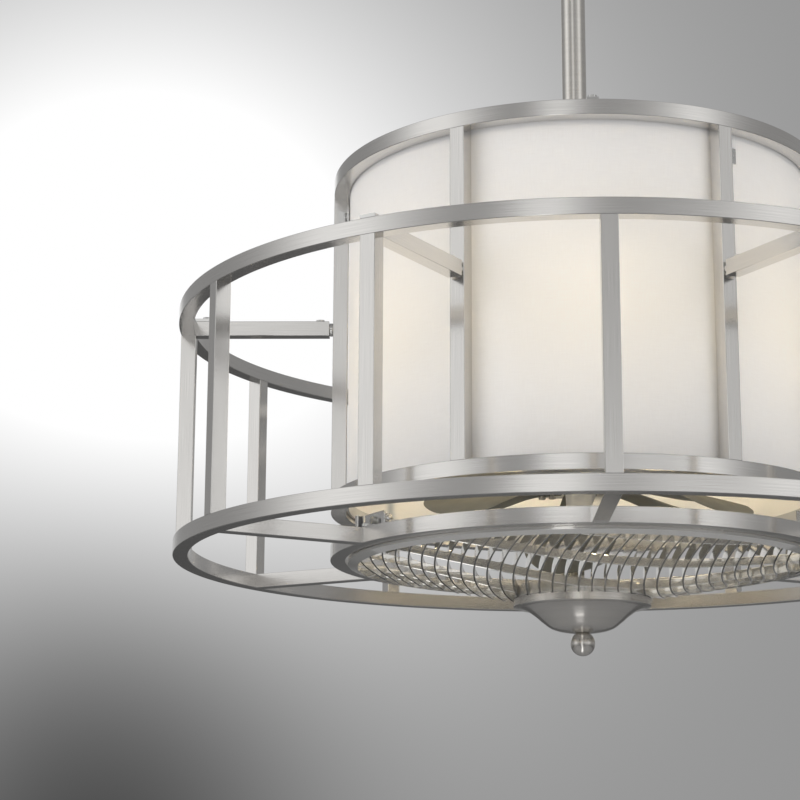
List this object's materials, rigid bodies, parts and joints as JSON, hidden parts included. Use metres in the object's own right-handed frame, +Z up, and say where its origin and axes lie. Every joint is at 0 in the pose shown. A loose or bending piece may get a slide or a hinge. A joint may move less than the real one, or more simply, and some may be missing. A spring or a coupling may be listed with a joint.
{
  "type": "caged drum ceiling fan with lamps",
  "caption": "Ceiling fan hidden in a linen drum shade inside a brushed-nickel cage of square tube, hung on a rod, with lamps in the shade and a chromed lattice grille under the blades.",
  "frame": {"origin": "centre of the hanger bracket's top face, flat against the ceiling", "axes": "+Z up along the downrod and the fan's spin axis, +X along the line of the two outlet box screws"},
  "size_m": [0.8639, 0.864, 0.8632],
  "materials": {
    "satin_nickel": "satin spun nickel plate",
    "brushed_nickel": "nickel brushed along each bar and ring",
    "bright_steel": "bright plated steel",
    "zinc_screw": "bright zinc plated",
    "zinc_sheet": "zinc plated sheet",
    "shade_linen": "off-white linen weave on a translucent liner",
    "motor_enamel": "white enamel on cast aluminium",
    "stem_enamel": "white enamel",
    "motor_iron": "stacked electrical sheet",
    "bearing_steel": "ground steel",
    "blade_plastic": "satin silver-grey moulded plastic",
    "lamp_enamel": "white enamel",
    "lampholder_plastic": "white moulded plastic",
    "bulb_glass": "frosted glass",
    "chrome_plated_plastic": "bright chrome plating on moulded plastic"
  },
  "bodies": {
    "ceiling_mount": {"hanger_bracket": "zinc_sheet", "canopy": "satin_nickel", "canopy_screws": "zinc_screw"},
    "fixture": {"downrod": "satin_nickel", "hang_ball": "satin_nickel", "rod_coupling": "satin_nickel", "centre_cap": "satin_nickel", "ball_finial": "satin_nickel", "outer_ring_top": "brushed_nickel", "outer_ring_bottom": "brushed_nickel", "inner_ring_top": "brushed_nickel", "inner_ring_bottom": "brushed_nickel", "grille_ring": "brushed_nickel", "outer_posts": "brushed_nickel", "top_arms": "brushed_nickel", "bottom_arms": "brushed_nickel", "lug_plates": "brushed_nickel", "top_spider": "brushed_nickel", "shade_brackets": "brushed_nickel", "inner_post_1": "brushed_nickel", "inner_post_2": "brushed_nickel", "inner_post_3": "brushed_nickel", "inner_post_4": "brushed_nickel", "inner_post_5": "brushed_nickel", "inner_post_6": "brushed_nickel", "arm_spacers": "bright_steel", "arm_end_plates": "bright_steel", "grille_brackets": "bright_steel", "rod_pins": "zinc_screw", "coupling_set_screws": "zinc_screw", "spider_screws": "zinc_screw", "flange_screws": "zinc_screw", "lug_screws": "zinc_screw", "shade_screws": "zinc_screw", "motor_screws": "zinc_screw", "grille_screws": "zinc_screw", "finial_stud": "zinc_screw", "shade_hoops": "zinc_sheet", "shade_fabric": "shade_linen", "motor_housing_top": "motor_enamel", "motor_housing_bottom": "motor_enamel", "motor_stem": "stem_enamel", "motor_stator": "motor_iron", "motor_bearings": "bearing_steel", "lamp_plate": "lamp_enamel", "lampholders": "lampholder_plastic", "bulbs": "bulb_glass", "grille_rim": "chrome_plated_plastic", "grille_fins": "chrome_plated_plastic", "grille_hub": "chrome_plated_plastic"},
    "rotor": {"motor_rotor": "motor_iron", "motor_shaft": "bearing_steel", "blade_hub": "blade_plastic", "blade_screws": "zinc_screw", "blade_1": "blade_plastic", "blade_2": "blade_plastic", "blade_3": "blade_plastic", "blade_4": "blade_plastic", "blade_5": "blade_plastic"}
  },
  "joints": [
    {"name": "hang_swing", "type": "hinge", "parent": "ceiling_mount", "child": "fixture", "pos_m": [0, 0, -0.055], "axis": [1, 0, 0], "range_deg": [-12, 12]},
    {"name": "fan_spin", "type": "hinge", "parent": "fixture", "child": "rotor", "pos_m": [0, 0, -0.6423], "axis": [0, 0, 1], "continuous": true}
  ]
}
